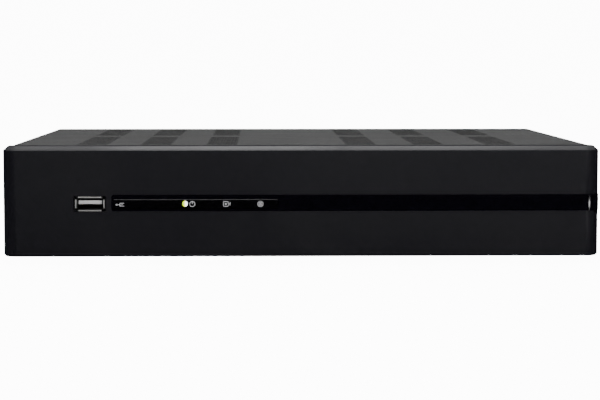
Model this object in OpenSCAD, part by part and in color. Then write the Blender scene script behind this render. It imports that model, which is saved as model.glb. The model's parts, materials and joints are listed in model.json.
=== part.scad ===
// Compact video recorder: moulded front bezel with a gloss indicator strip, perforated sheet cover,
// steel tray, rear connector panel, main board, 3.5 inch disk drive, fan and rocker switch.
// Millimetres. X runs to the right, the front faces -Y, Z is up and the feet stand on Z = 0.

/* [Case] */
// Width of the front bezel
case_w = 300; // [296:1:320]
// Height of the front bezel at its seam
case_h = 55.4; // [52:0.1:60]
// Depth from the front face to the back of the cover
case_d = 228; // [226:1:250]
// Depth of the front bezel, front face to seam
bezel_d = 14; // [12:1:18]
// Radius of the bezel's front corners in plan
corner_r = 7; // [4:1:10]
// Thickness of the bezel's front wall
bezel_wall = 3.2; // [2.8:0.1:4]
// Height of the slope round the bezel's top edge
bezel_fall = 2.1; // [0.5:0.1:2.5]
// Depth of that slope, seen from above
bezel_run = 2.4; // [0.5:0.1:3]
// Width of the cover
cover_w = 294; // [292:1:296]
// Thickness of the steel sheet
sheet_t = 1.2; // [0.8:0.1:1.4]
// Height of the rubber feet below the bezel
foot_h = 3.5; // [3:0.5:6]

/* [Front strip] */
// Height of the gloss strip
strip_h = 8.3; // [6:0.1:10]
// Height of the strip's centre above the bezel's bottom edge
strip_z = 27; // [20:0.1:32]
// Left end of the strip, from the middle of the bezel
strip_left = 95.4; // [60:0.1:120]
// How far the strip stands proud of the bezel
strip_proud = 0.3; // [0.1:0.1:0.6]

/* [Vents] */
// Width of a vent patch
vent_w = 16; // [10:1:20]
// Length of a vent patch
vent_l = 92; // [60:1:94]
// Spacing of the slots in a patch
vent_pitch = 5.5; // [4:0.5:8]
// Width of one slot
vent_slot = 2.6; // [1.5:0.1:3]

/* [Rear] */
// Length of a video connector behind the cover
bnc_reach = 11; // [9:0.5:12]
// Spacing of the video connectors
bnc_pitch = 16; // [15:0.5:17]

/* [Hidden] */

$fn = 48;
eps = 0.01;             // overlap that makes a cut pass cleanly through a face
gap = 0.3;              // air between pieces that do not touch
total_d = case_d + bnc_reach;
front_y = -total_d / 2;
rear_y = front_y + case_d;
seam_y = front_y + bezel_d;
z0 = foot_h;
z1 = foot_h + case_h;
side_wall = 2.6;        // bezel side and top walls
base_cut = 0.9;         // slope round the bezel's bottom edge

tray_z = z0 + 0.5;      // underside of the tray
floor_z = tray_z + sheet_t;
tray_front = seam_y + 1.2;
tray_x = cover_w / 2 - sheet_t - gap;
flange_h = 20;          // side flanges of the tray
front_flange_h = 44;
panel_out = rear_y - 0.5;
panel_in = panel_out - sheet_t;

screw_d = 2.9;          // M3 shanks
tap_d = 3;              // threads they turn in
clear_d = 3.4;          // clearance holes
head_d = 5.6;
head_h = 1.8;

side_screw_y = [-60, 60];
side_screw_z = z0 + 11;
bezel_screw_x = 138;
bezel_screw_z = [z0 + 8.5, z0 + 38];
panel_screw_x = [-60, 30, 124];
panel_screw_y = panel_in - 6;

// Front board and what sits on it
sign_z = z0 + 26.6;     // centre line of the port and of the indicators
usb_x = -106.2;
usb_w = 13.2;
usb_h = 5.9;
usb_hole = [16.3, 7.9];
led_x = [-58.6, -41.2, -24.5];
ir_x = -75;
fboard_x = [-125, -9];
fboard_y = [front_y + 6.5, front_y + 31];
fboard_top = sign_z - usb_h / 2 - 0.05;
board_t = 1.6;
fboard_screw_x = [-119, -15];
fboard_screw_y = front_y + 10;

// Gloss strip and its window
strip_t = 1.9;
groove_clear = 0.1;
window_x = [-94.6, -11.8];
window_h = 5;
window_z = z0 + 26.55;
window_t = 1.1;
pocket_t = 1.1;
pipe_d = 3;

// Vents
vent_x = [-106.5, -74, -40.5, 30.5, 65, 102];
vent_y = [seam_y + 50, seam_y + 160];

// Main board
board_x = [-98, 138];
board_y = [12, panel_in - 0.5];
board_z = floor_z + 6;
board_top = board_z + board_t;
hole_x = [-92, 20, 132];
hole_y = [20, 80];

// Rear connectors, all measured on the panel
bnc_x0 = -88;
bnc_n = 4;
bnc_z = [24, 41];
bnc_r = 4.8;
bnc_tip = panel_out + bnc_reach + 0.5;
lug_back = 5.5;
sleeve_l = 4;           // full-diameter stretch of the barrel in front of the lugs
audio_x = -24;
audio_z = [21, 35.5];
audio_r = 4.15;
vga_x = -1;
vga_z = 20.5;
jack_span = 25;
hdmi_x = 27;
hdmi_z = board_top + 3.2;
rusb_x = 44;
rusb_w = 13.6;
rusb_h = 15.6;
lan_x = 62;
lan_w = 16;
lan_h = 13.5;
term_x = 86;
term_n = 6;
term_pitch = 3.81;
dc_x = 131;
dc_z = board_top + 6;
dc_bore_d = 6.3;
earth_x = 134;
earth_z = 44;

// Rocker switch
sw_x = 112;
sw_z = 31;
sw_body = [13, 19.2];
sw_bezel = [15, 21];
sw_cavity = [10.6, 17.6];
sw_pivot_y = panel_out - 1.5;
rocker_w = 10.2;
rocker_tilt = 10;
pin_d = 2.4;

// Fan
fan_x = -121;
fan_z = 29.5;
fan_s = 40;
fan_t = 10;
fan_bore_r = 19;
fan_screw = 16;
rotor_r = 18.4;
rotor_hub_r = 11;
rotor_back = 2.2;       // depth of the frame's spider
fan_shaft_d = 3;
blades = 7;

// Disk drive
drive_l = 147;
drive_w = 101.6;
drive_h = 24.9;
drive_x0 = -7;
drive_y = -45;
drive_z = floor_z + 3;
drive_lid_t = 1;
bowl_floor = drive_z + 6;
spindle = [drive_x0 + drive_l - 51, drive_y];
bowl_r = 48.6;
platter_r = 47.5;
platter_z = bowl_floor + 6;
platter_t = 1.3;
hub_r = 12.5;
spindle_pin_d = 8;
arm_pivot = [33, -20];
arm_pin_d = 7;
arm_l = 52;
arm_angle = 22;
arm_z = platter_z + platter_t + 1;
arm_t = 1.6;
run = 0.05;             // radial running clearance
drive_hole_x = [drive_x0 + 41.3, drive_x0 + 85.7];
drive_hole_y = [drive_y - 47.6, drive_y + 47.6];
drive_screw_d = 3.4;

// ---------- helpers ----------

// A box given by its lower corner and its upper corner
module block(a, b) translate(a) cube(b - a);

// A cylinder along Y, from y0 to y1
module rod_y(x, z, y0, y1, d) translate([x, y0, z]) rotate([-90, 0, 0]) cylinder(d = d, h = y1 - y0);

// A ring along Y
module tube_y(x, z, y0, y1, d, bore) difference() {
    rod_y(x, z, y0, y1, d);
    rod_y(x, z, y0 - eps, y1 + eps, bore);
}

// A rectangle with round corners, centred
module round_rect(w, h, r) {
    square([w - 2 * r, h], center = true);
    square([w, h - 2 * r], center = true);
    for (sx = [-1, 1], sz = [-1, 1])
        translate([sx * (w / 2 - r), sz * (h / 2 - r)]) circle(r = r);
}

// Extrudes an X-Z outline along Y, from y0 to y1
module along_y(y0, y1) translate([0, y1, 0]) rotate([90, 0, 0]) linear_extrude(y1 - y0) children();

// Normal of a path at point i, stretched so that a constant thickness is kept round bends
function path_normal(p, i) =
    let (a = p[max(i - 1, 0)], b = p[min(i + 1, len(p) - 1)], m = p[i],
         u = m == a ? (b - m) / norm(b - m) : (m - a) / norm(m - a),
         v = m == b ? u : (b - m) / norm(b - m),
         n = [-u[1] - v[1], u[0] + v[0]])
    n * 2 / (n * n);

// Outline of a flat cable of thickness t along path p
function cable_outline(p, t) = concat(
    [for (i = [0 : len(p) - 1]) p[i] + path_normal(p, i) * t / 2],
    [for (i = [len(p) - 1 : -1 : 0]) p[i] - path_normal(p, i) * t / 2]);

// A screw that points along +Z, with its head's top at z = 0
module screw(l, d = screw_d, hd = head_d) difference() {
    union() {
        cylinder(d = hd, h = head_h);
        cylinder(d = d, h = head_h + l);
    }
    for (a = [0, 90]) rotate(a) translate([-hd * 0.3, -0.4, -eps]) cube([hd * 0.6, 0.8, 0.9]);
}

// ---------- front ----------

// Height limits of the bezel, as [inset, z] pairs from the bottom edge up to the top edge
bezel_edge = [[base_cut, z0], [0, z0 + base_cut], [0, z1 - bezel_fall], [bezel_run, z1]];

// Outer shape: one stretch along the front, one along the sides, and a round corner at each end
module bezel_outside() {
    half = case_w / 2;
    rotate([90, 0, 90]) translate([0, 0, corner_r - half]) linear_extrude(case_w - 2 * corner_r)
        polygon(concat([[seam_y, z0]], [for (e = bezel_edge) [front_y + e[0], e[1]]], [[seam_y, z1]]));
    along_y(front_y + corner_r, seam_y)
        polygon(concat([for (e = bezel_edge) [e[0] - half, e[1]]],
                       [for (i = [3 : -1 : 0]) [half - bezel_edge[i][0], bezel_edge[i][1]]]));
    for (s = [-1, 1]) translate([s * (half - corner_r), front_y + corner_r]) rotate_extrude()
        polygon(concat([[0, z0]], [for (e = bezel_edge) [corner_r - e[0], e[1]]], [[0, z1]]));
}

module bezel_cavity() block([side_wall - case_w / 2, front_y + bezel_wall, z0 + side_wall],
                            [case_w / 2 - side_wall, seam_y + 1, z1 - side_wall]);

// Band that follows the bezel's front and its right corner, from `outer` proud to `inner` deep
module strip_band(outer, inner, grow) intersection() {
    translate([0, 0, z0]) linear_extrude(case_h) difference() {
        strip_plan(-outer);
        strip_plan(inner);
    }
    along_y(front_y - 2, front_y + 40) translate([0, z0 + strip_z]) strip_face(grow);
}

module strip_plan(inset) {
    w = case_w - 2 * inset;
    r = corner_r - inset;
    end = front_y + bezel_d - (inset > 0 ? -1 : 0.6);
    translate([-w / 2, front_y + corner_r]) square([w, end - front_y - corner_r]);
    translate([-w / 2, front_y + inset]) square([w - r, corner_r]);
    translate([w / 2 - r, front_y + corner_r]) circle(r = r);
}

// The strip as seen from the front: round corners at its left end
module strip_face(grow) {
    r = 1.2 + grow;
    h = strip_h - 0.2 + 2 * grow;
    left = -strip_left + 0.1 - grow;
    translate([left + r, -h / 2]) square([case_w, h]);
    translate([left, -h / 2 + r]) square([case_w, h - 2 * r]);
    for (s = [-1, 1]) translate([left + r, s * (h / 2 - r)]) circle(r = r);
}

module indicator_holes(d) {
    for (x = led_x) rod_y(x, sign_z, front_y - 1, front_y + 6, d);
    rod_y(ir_x, sign_z, front_y - 1, front_y + 6, 4.6);
}

module front_bezel() color([0.1, 0.1, 0.11]) difference() {
    union() {
        difference() {
            bezel_outside();
            difference() {
                bezel_cavity();
                for (x = fboard_screw_x) block([x - 3.5, front_y, fboard_top - board_t - 8],
                                               [x + 3.5, seam_y + 5, fboard_top - board_t]);
            }
        }
        for (s = [-1, 1], z = bezel_screw_z)
            rod_y(s * bezel_screw_x, z, front_y + bezel_wall - 1, tray_front, 7);
    }
    strip_band(strip_proud + 1, strip_t - strip_proud + groove_clear, groove_clear);
    indicator_holes(pipe_d + 0.2);
    for (s = [-1, 1], z = bezel_screw_z)
        rod_y(s * bezel_screw_x, z, tray_front - 8, tray_front + 1, tap_d);
    for (x = fboard_screw_x)
        translate([x, fboard_screw_y, fboard_top - board_t - 7]) cylinder(d = tap_d, h = 8);
    block([usb_x - usb_hole[0] / 2, front_y - 1, sign_z - usb_hole[1] / 2],
          [usb_x + usb_hole[0] / 2, front_y + 5, sign_z + usb_hole[1] / 2]);
}

module gloss_strip() color([0.02, 0.02, 0.02]) difference() {
    strip_band(strip_proud, strip_t - strip_proud, 0);
    block([window_x[0] - 0.05, front_y - 1, window_z - window_h / 2 - 0.05],
          [window_x[1] + 0.05, front_y - strip_proud + pocket_t, window_z + window_h / 2 + 0.05]);
    indicator_holes(pipe_d + 0.2);
}

module indicator_window() color([0.06, 0.06, 0.07])
    along_y(front_y - strip_proud - 0.1, front_y - strip_proud - 0.1 + window_t)
        translate([(window_x[0] + window_x[1]) / 2, window_z])
            round_rect(window_x[1] - window_x[0], window_h, 0.5);

module light_pipes() color([0.8, 0.9, 0.8])
    for (x = led_x) rod_y(x, sign_z, front_y - strip_proud + pocket_t, front_y + 7, pipe_d);

module front_leds() color([0.6, 0.9, 0.3]) for (x = led_x) {
    rod_y(x, sign_z, front_y + 7.2, front_y + 10, 3);
    block([x - 2, front_y + 9.5, fboard_top], [x + 2, front_y + 13, sign_z + 2]);
}

module ir_receiver() color([0.1, 0.05, 0.08]) {
    block([ir_x - 2.8, front_y + 8.5, fboard_top], [ir_x + 2.8, front_y + 12.5, sign_z + 3]);
    rod_y(ir_x, sign_z, front_y + 7.4, front_y + 9, 4);
}

// A socket's metal sleeve, closed at y1 and with its mouth at y0
module usb_sleeve(x, z, y0, y1, w, h, t) difference() {
    block([x - w / 2, y0, z - h / 2], [x + w / 2, y1, z + h / 2]);
    block([x - w / 2 + t, y0 - 1, z - h / 2 + t], [x + w / 2 - t, y1 - 1, z + h / 2 - t]);
}

module front_usb_shell() color([0.75, 0.75, 0.74]) {
    t = 0.35;
    y = front_y + 1.8;
    usb_sleeve(usb_x, sign_z, y, y + 15, usb_w, usb_h, t);
    for (s = [-1, 1]) {
        translate([usb_x, y + 0.2, sign_z + s * (usb_h / 2 - t / 2)]) rotate([-s * 26, 0, 0])
            translate([-usb_w / 2 + 0.8, -1.7, -t / 2]) cube([usb_w - 1.6, 1.8, t]);
        translate([usb_x + s * (usb_w / 2 - t / 2), y + 0.2, sign_z]) rotate([0, 0, s * 26])
            translate([-t / 2, -1.7, -usb_h / 2 + 0.8]) cube([t, 1.8, usb_h - 1.6]);
    }
}

module front_usb_tongue() color([0.92, 0.92, 0.9])
    block([usb_x - 5.8, front_y + 2.6, sign_z - 0.2], [usb_x + 5.8, front_y + 15.5, sign_z + 1.6]);

module front_usb_contacts() color([0.85, 0.7, 0.4])
    for (i = [-1.5 : 1.5]) block([usb_x + i * 2.4 - 0.5, front_y + 3.6, sign_z - 0.5],
                                 [usb_x + i * 2.4 + 0.5, front_y + 15.5, sign_z - 0.2]);

module front_board() color([0.05, 0.3, 0.15]) difference() {
    union() {
        block([fboard_x[0], fboard_y[0], fboard_top - board_t], [fboard_x[1], fboard_y[1], fboard_top]);
        block([-84, fboard_y[1] - 6, fboard_top - eps], [-66, fboard_y[1], fboard_top + 3]);
    }
    for (x = fboard_screw_x) translate([x, fboard_screw_y, fboard_top - 5]) cylinder(d = clear_d, h = 9);
}

// Flat cable from the front board down to the floor and up to the main board
module front_ribbon() color([0.75, 0.75, 0.75]) {
    p = [[fboard_y[1] + 0.1, fboard_top + 1.5], [fboard_y[1] + 5, fboard_top + 1.5],
         [fboard_y[1] + 9, fboard_top - 3], [fboard_y[1] + 9, floor_z + 7],
         [fboard_y[1] + 13, floor_z + 2], [-6, floor_z + 2], [0, floor_z + 5], [3, board_top + 6],
         [7, board_top + 9], [14, board_top + 9], [18, board_top + 8], [18, board_top + 4]];
    translate([-82, 0, 0]) rotate([90, 0, 90]) linear_extrude(14) polygon(cable_outline(p, 0.9));
    block([-84, 15.5, board_top], [-66, 20.5, board_top + 4]);
}

// ---------- case ----------

module chassis_tray() color([0.72, 0.73, 0.74]) difference() {
    union() {
        block([-tray_x, tray_front, tray_z], [tray_x, panel_out, floor_z]);
        for (s = [-1, 1]) translate([s * (tray_x - sheet_t / 2) - sheet_t / 2, tray_front, tray_z])
            cube([sheet_t, panel_in - tray_front - 1, flange_h]);
        block([-tray_x, tray_front, tray_z], [tray_x, tray_front + sheet_t, tray_z + front_flange_h]);
        for (x = drive_hole_x, y = drive_hole_y)
            translate([x, y, floor_z - eps]) cylinder(d = 8, h = drive_z - floor_z + eps);
    }
    block([fboard_x[0] - 3, tray_front - 1, fboard_top - 7], [fboard_x[1] + 3, tray_front + 3, sign_z + 8]);
    for (x = [20 : 12 : 116]) block([x, tray_front - 1, z0 + 26], [x + 8, tray_front + 3, z0 + 38]);
    for (s = [-1, 1], z = bezel_screw_z)
        rod_y(s * bezel_screw_x, z, tray_front - 1, tray_front + 3, clear_d);
    for (y = side_screw_y) translate([0, y, side_screw_z]) rotate([0, 90, 0])
        cylinder(d = tap_d, h = cover_w, center = true);
    for (x = drive_hole_x, y = drive_hole_y) translate([x, y, tray_z - 1]) cylinder(d = 3.8, h = 9);
    for (x = panel_screw_x) translate([x, panel_screw_y, tray_z - 1]) cylinder(d = clear_d, h = 4);
}

// Vent rings behind the fan, with bars left between the sectors
module fan_grille() difference() {
    circle(r = fan_bore_r - 0.8);
    difference() {
        circle(r = 14.6);
        circle(r = 12.8);
    }
    circle(r = 6.5);
    for (a = [0, 45, 90, 135]) rotate(a) square([2 * fan_s, 2], center = true);
}

module d_outline(w, h) {
    s = h * tan(10) / 2;
    polygon([[-w / 2 + 0.8, h / 2], [-w / 2, h / 2 - 0.8], [-w / 2 + 2 * s, -h / 2 + 0.8],
             [-w / 2 + 2 * s + 0.9, -h / 2], [w / 2 - 2 * s - 0.9, -h / 2], [w / 2 - 2 * s, -h / 2 + 0.8],
             [w / 2, h / 2 - 0.8], [w / 2 - 0.8, h / 2]]);
}

module panel_cuts() {
    for (i = [0 : bnc_n - 1], z = bnc_z) translate([bnc_x0 + i * bnc_pitch, z]) circle(r = bnc_r + 0.3);
    for (z = audio_z) translate([audio_x, z]) circle(r = audio_r + 0.3);
    translate([vga_x, vga_z]) {
        d_outline(18.4, 10);
        for (s = [-1, 1]) translate([s * jack_span / 2, 0]) circle(d = clear_d);
    }
    translate([hdmi_x, hdmi_z]) square([16, 6.8], center = true);
    translate([rusb_x, board_top + rusb_h / 2]) square([rusb_w + 0.8, rusb_h + 0.8], center = true);
    translate([lan_x, board_top + lan_h / 2]) square([lan_w + 0.8, lan_h + 0.8], center = true);
    translate([term_x, board_top + 5.5]) square([term_n * term_pitch + 2, 11.8], center = true);
    translate([dc_x, dc_z]) circle(d = 9.6);
    translate([sw_x, sw_z]) square(sw_body + [0.4, 0.4], center = true);
    translate([fan_x, fan_z]) {
        fan_grille();
        for (sx = [-1, 1], sz = [-1, 1]) translate([sx, sz] * fan_screw) circle(d = clear_d);
    }
    translate([earth_x, earth_z]) circle(d = tap_d + 0.4);
}

module rear_panel() color([0.16, 0.16, 0.17]) {
    along_y(panel_in, panel_out) difference() {
        translate([-tray_x, floor_z]) square([2 * tray_x, z1 - sheet_t - gap - floor_z]);
        panel_cuts();
    }
    difference() {
        block([-tray_x + 4, panel_in - 12, floor_z], [tray_x - 4, panel_in + eps, floor_z + sheet_t]);
        for (x = panel_screw_x) translate([x, panel_screw_y, floor_z - 1]) cylinder(d = tap_d, h = 4);
    }
}

module vent_patch() for (i = [0 : floor(vent_l / vent_pitch) - 1])
    translate([0, (i + 0.5) * vent_pitch - vent_l / 2]) square([vent_w, vent_slot], center = true);

module top_cover() color([0.3, 0.3, 0.31]) difference() {
    union() {
        translate([0, 0, z1 - sheet_t]) linear_extrude(sheet_t) difference() {
            translate([-cover_w / 2, seam_y + 0.2]) square([cover_w, rear_y - seam_y - 0.2]);
            for (x = vent_x, y = vent_y) translate([x, y]) vent_patch();
        }
        for (s = [-1, 1]) translate([s * (cover_w - sheet_t) / 2 - sheet_t / 2, seam_y + 0.2, tray_z])
            cube([sheet_t, rear_y - seam_y - 0.2, z1 - tray_z - sheet_t + eps]);
    }
    for (y = side_screw_y) translate([0, y, side_screw_z]) rotate([0, 90, 0])
        cylinder(d = clear_d, h = cover_w + 10, center = true);
}

module rubber_feet() color([0.06, 0.06, 0.06])
    for (x = [-120, 120], y = [-68, 84]) translate([x, y, 0]) {
        cylinder(d1 = 13, d2 = 15, h = 1);
        translate([0, 0, 1]) cylinder(d = 15, h = tray_z - 1);
    }

module cover_screws() color([0.12, 0.12, 0.12])
    for (s = [-1, 1], y = side_screw_y)
        translate([s * (cover_w / 2 + head_h), y, side_screw_z]) rotate([0, -s * 90, 0]) screw(5);

module chassis_screws() color([0.8, 0.8, 0.8]) {
    for (s = [-1, 1], z = bezel_screw_z)
        translate([s * bezel_screw_x, tray_front + sheet_t + head_h, z]) rotate([90, 0, 0]) screw(7);
    for (x = panel_screw_x) translate([x, panel_screw_y, tray_z - head_h]) screw(5);
}

module board_standoffs() color([0.8, 0.7, 0.4]) for (x = hole_x, y = hole_y)
    translate([x, y, floor_z]) difference() {
        cylinder(d = 6.4, h = board_z - floor_z, $fn = 6);
        translate([0, 0, -1]) cylinder(d = tap_d, h = board_z - floor_z + 2);
    }

module board_screws() color([0.8, 0.8, 0.8]) {
    for (x = hole_x, y = hole_y) translate([x, y, board_top + head_h]) rotate([180, 0, 0]) screw(6);
    for (x = fboard_screw_x)
        translate([x, fboard_screw_y, fboard_top + head_h]) rotate([180, 0, 0]) screw(6);
}

// ---------- main board ----------

module main_board() color([0.05, 0.3, 0.15]) difference() {
    block([board_x[0], board_y[0], board_z], [board_x[1], board_y[1], board_top]);
    for (x = hole_x, y = hole_y) translate([x, y, board_z - 1]) cylinder(d = clear_d, h = 4);
}

module chip(x, y, w, l, h) block([x - w / 2, y - l / 2, board_top], [x + w / 2, y + l / 2, board_top + h]);

soc = [6, 52];
module board_chips() color([0.08, 0.08, 0.08]) {
    chip(soc[0], soc[1], 24, 24, 2);
    for (x = [-84, -68, -52, -36]) chip(x, 62, 10, 10, 1.2);
    for (y = [38, 52, 66]) chip(38, y, 12, 9, 1.2);
    chip(62, 74, 9, 9, 1.2);
    chip(74, 40, 8, 5, 1.6);
    for (y = [34, 48, 62]) chip(88, y, 9, 9, 4.5);
}

module soc_heatsink() color([0.75, 0.76, 0.78]) {
    w = 36;
    z = board_top + 2;
    block([soc[0] - w / 2, soc[1] - w / 2, z], [soc[0] + w / 2, soc[1] + w / 2, z + 2.5]);
    for (i = [0 : 8]) block([soc[0] - w / 2 + i * (w - 1.2) / 8, soc[1] - w / 2, z + 2],
                            [soc[0] - w / 2 + i * (w - 1.2) / 8 + 1.2, soc[1] + w / 2, z + 12]);
}

module board_capacitors() color([0.15, 0.2, 0.35]) {
    for (x = [98, 108, 118], y = [66, 78]) translate([x, y, board_top]) cylinder(d = 8, h = 11.5);
    for (x = [-76, -60, -44, -28]) translate([x, 74, board_top]) cylinder(d = 5, h = 6);
}

cell = [112, 42];
module coin_cell() color([0.8, 0.8, 0.8])
    translate([cell[0], cell[1], board_top + 1.1]) cylinder(d = 20, h = 3.2);

module coin_cell_holder() color([0.1, 0.1, 0.1]) translate([cell[0], cell[1], board_top]) difference() {
    cylinder(d = 23.5, h = 4);
    translate([0, 0, 1]) cylinder(d = 20.2, h = 5);
    translate([-6, -15, 1]) cube([12, 30, 5]);
}

// ---------- rear connectors ----------

module each_bnc() for (i = [0 : bnc_n - 1], z = bnc_z) translate([bnc_x0 + i * bnc_pitch, 0, z]) children();

module bnc_housings() color([0.08, 0.08, 0.08]) for (i = [0 : bnc_n - 1]) {
    x = bnc_x0 + i * bnc_pitch;
    block([x - 7, panel_in - 18, board_top], [x + 7, panel_in - 0.4, bnc_z[1] + 7]);
}

module bnc_barrels() color([0.82, 0.82, 0.82]) each_bnc() {
    y = panel_in - 0.4;
    difference() {
        union() {
            rod_y(0, 0, y, bnc_tip - 1, 2 * bnc_r - 0.4);
            rod_y(0, 0, bnc_tip - sleeve_l, bnc_tip, 2 * bnc_r);
        }
        rod_y(0, 0, y - 1, bnc_tip + 1, 8);
    }
    for (s = [-1, 1]) translate([s * (bnc_r - 0.3), bnc_tip - lug_back, 0]) rotate([0, s * 90, 0])
        cylinder(d = 2, h = 1.2);
}

module bnc_insulators() color([0.95, 0.95, 0.92]) each_bnc()
    tube_y(0, 0, panel_in - 0.4, bnc_tip - 7, 7.9, 2.1);

module bnc_contacts() color([0.85, 0.7, 0.35]) each_bnc()
    difference() {
        rod_y(0, 0, panel_in - 0.4, bnc_tip - 2.6, 2);
        rod_y(0, 0, bnc_tip - 6, bnc_tip, 1);
    }

module audio_housing() color([0.08, 0.08, 0.08])
    block([audio_x - 5, panel_in - 14, board_top], [audio_x + 5, panel_in - 0.4, audio_z[1] + 6]);

module audio_shells() color([0.82, 0.82, 0.82])
    for (z = audio_z) difference() {
        union() {
            rod_y(audio_x, z, panel_in - 0.4, panel_out + 8, 2 * audio_r - 0.9);
            rod_y(audio_x, z, panel_out + 0.5, panel_out + 8.5, 2 * audio_r);
        }
        rod_y(audio_x, z, panel_in - 1, panel_out + 9, 6.6);
    }

module audio_inserts() color([0.85, 0.85, 0.82])
    for (z = audio_z) tube_y(audio_x, z, panel_in - 0.4, panel_out + 7.6, 6.5, 3.2);

module vga_shell() color([0.75, 0.75, 0.76]) translate([vga_x, 0, vga_z]) {
    along_y(panel_in - 1, panel_in - 0.2) difference() {
        square([31, 12.5], center = true);
        d_outline(16.6, 8.2);
        for (s = [-1, 1]) translate([s * jack_span / 2, 0]) circle(d = clear_d);
    }
    along_y(panel_in - 1, panel_out + 5.6) difference() {
        d_outline(17.6, 9.2);
        d_outline(16.6, 8.2);
    }
    along_y(panel_in - 13, panel_in - 1) translate([0, (board_top - vga_z) / 2 + 3.1])
        square([31, vga_z - board_top + 6.2], center = true);
}

module vga_insert() color([0.1, 0.2, 0.6]) translate([vga_x, 0, vga_z])
    along_y(panel_in - 1, panel_out + 4.8) difference() {
        d_outline(16.4, 8);
        for (r = [-1 : 1], i = [0 : 4])
            translate([(i - 2) * 2.29 + r * 0.6, r * 1.98]) circle(d = 1.1, $fn = 16);
    }

module vga_jack_screws() color([0.8, 0.8, 0.8]) for (s = [-1, 1])
    translate([vga_x + s * jack_span / 2, panel_out, vga_z]) rotate([-90, 0, 0]) difference() {
        union() {
            cylinder(d = 5.5, h = 5, $fn = 6);
            translate([0, 0, -1.9]) cylinder(d = screw_d, h = 2.5);
        }
        translate([0, 0, 1]) cylinder(d = 2.4, h = 5);
    }

module hdmi_outline(g) polygon([[-7.2 + g, 2.6 - g], [7.2 - g, 2.6 - g], [7.2 - g, -0.6],
                                [5.2 - g, -2.6 + g], [-5.2 + g, -2.6 + g], [-7.2 + g, -0.6]]);

module hdmi_shell() color([0.75, 0.75, 0.76]) translate([hdmi_x, 0, hdmi_z]) {
    along_y(panel_in - 10, panel_out + 0.4) difference() {
        hdmi_outline(0);
        hdmi_outline(0.4);
    }
    along_y(panel_in - 11, panel_in - 10) hdmi_outline(0);
    for (s = [-1, 1]) block([s * 6 - 0.6, panel_in - 10.5, board_top - hdmi_z],
                            [s * 6 + 0.6, panel_in - 3, -0.9]);
}

module hdmi_tongue() color([0.06, 0.06, 0.06]) translate([hdmi_x, 0, hdmi_z])
    block([-5.6, panel_in - 10, -0.3], [5.6, panel_out - 0.8, 1]);

module ethernet_shell() color([0.78, 0.78, 0.79]) difference() {
    block([lan_x - lan_w / 2, panel_in - 16, board_top],
          [lan_x + lan_w / 2, panel_out + 0.6, board_top + lan_h]);
    block([lan_x - lan_w / 2 + 0.4, panel_in - 15.6, board_top + 0.4],
          [lan_x + lan_w / 2 - 0.4, panel_out + 2, board_top + lan_h - 0.4]);
}

module ethernet_insert() color([0.08, 0.08, 0.08]) difference() {
    block([lan_x - lan_w / 2 + 0.5, panel_in - 15.5, board_top + 0.5],
          [lan_x + lan_w / 2 - 0.5, panel_out + 0.3, board_top + lan_h - 0.5]);
    block([lan_x - 5.9, panel_in - 12, board_top + 4], [lan_x + 5.9, panel_out + 2, board_top + 11]);
    block([lan_x - 3, panel_in - 12, board_top + 1.6], [lan_x + 3, panel_out + 2, board_top + 5]);
}

module rear_usb_shell() color([0.78, 0.78, 0.79]) difference() {
    block([rusb_x - rusb_w / 2, panel_in - 16, board_top],
          [rusb_x + rusb_w / 2, panel_out + 0.6, board_top + rusb_h]);
    for (i = [0, 1]) block([rusb_x - rusb_w / 2 + 0.5, panel_in - 12, board_top + 0.6 + i * 8.4],
                           [rusb_x + rusb_w / 2 - 0.5, panel_out + 2, board_top + 6.6 + i * 8.4]);
}

module rear_usb_tongues() color([0.92, 0.92, 0.9]) for (i = [0, 1])
    block([rusb_x - 5.7, panel_in - 12, board_top + 3.9 + i * 8.4],
          [rusb_x + 5.7, panel_out - 0.4, board_top + 5.7 + i * 8.4]);

module each_terminal() for (i = [0 : term_n - 1])
    translate([term_x + (i - (term_n - 1) / 2) * term_pitch, 0, board_top]) children();

module terminal_block() color([0.1, 0.5, 0.2]) difference() {
    union() {
        block([term_x - term_n * term_pitch / 2, panel_in - 9, board_top],
              [term_x + term_n * term_pitch / 2, panel_out + 2, board_top + 7.4]);
        block([term_x - term_n * term_pitch / 2, panel_in - 9, board_top + 7.4],
              [term_x + term_n * term_pitch / 2, panel_out - 1.6, board_top + 10.6]);
    }
    each_terminal() {
        rod_y(0, 3.8, panel_out - 5, panel_out + 3, 2.6);
        translate([0, panel_in - 4, 8]) cylinder(d = 2.6, h = 4);
    }
}

module terminal_screws() color([0.8, 0.8, 0.8])
    each_terminal() translate([0, panel_in - 4, 8]) difference() {
    cylinder(d = 2.5, h = 1.8);
    translate([-0.9, -0.2, 1.2]) cube([1.8, 0.4, 1]);
}

module dc_inlet() color([0.06, 0.06, 0.06]) difference() {
    union() {
        block([dc_x - 4.6, panel_in - 13, board_top], [dc_x + 4.6, panel_in - 0.4, dc_z + 4.8]);
        rod_y(dc_x, dc_z, panel_in - 1, panel_out + 0.4, 9);
    }
    rod_y(dc_x, dc_z, panel_out - 9.5, panel_out + 1, dc_bore_d);
}

module dc_inlet_pin() color([0.82, 0.82, 0.82]) rod_y(dc_x, dc_z, panel_out - 9.5, panel_out - 0.6, 2.1);

module ground_screw() color([0.82, 0.82, 0.82])
    translate([earth_x, panel_out, earth_z]) rotate([90, 0, 0]) {
    translate([0, 0, -0.8]) difference() {
        cylinder(d = 8, h = 0.8);
        translate([0, 0, -1]) cylinder(d = 2, h = 3);
    }
    translate([0, 0, -0.8 - head_h]) screw(6);
}

// ---------- rocker switch ----------

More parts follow.
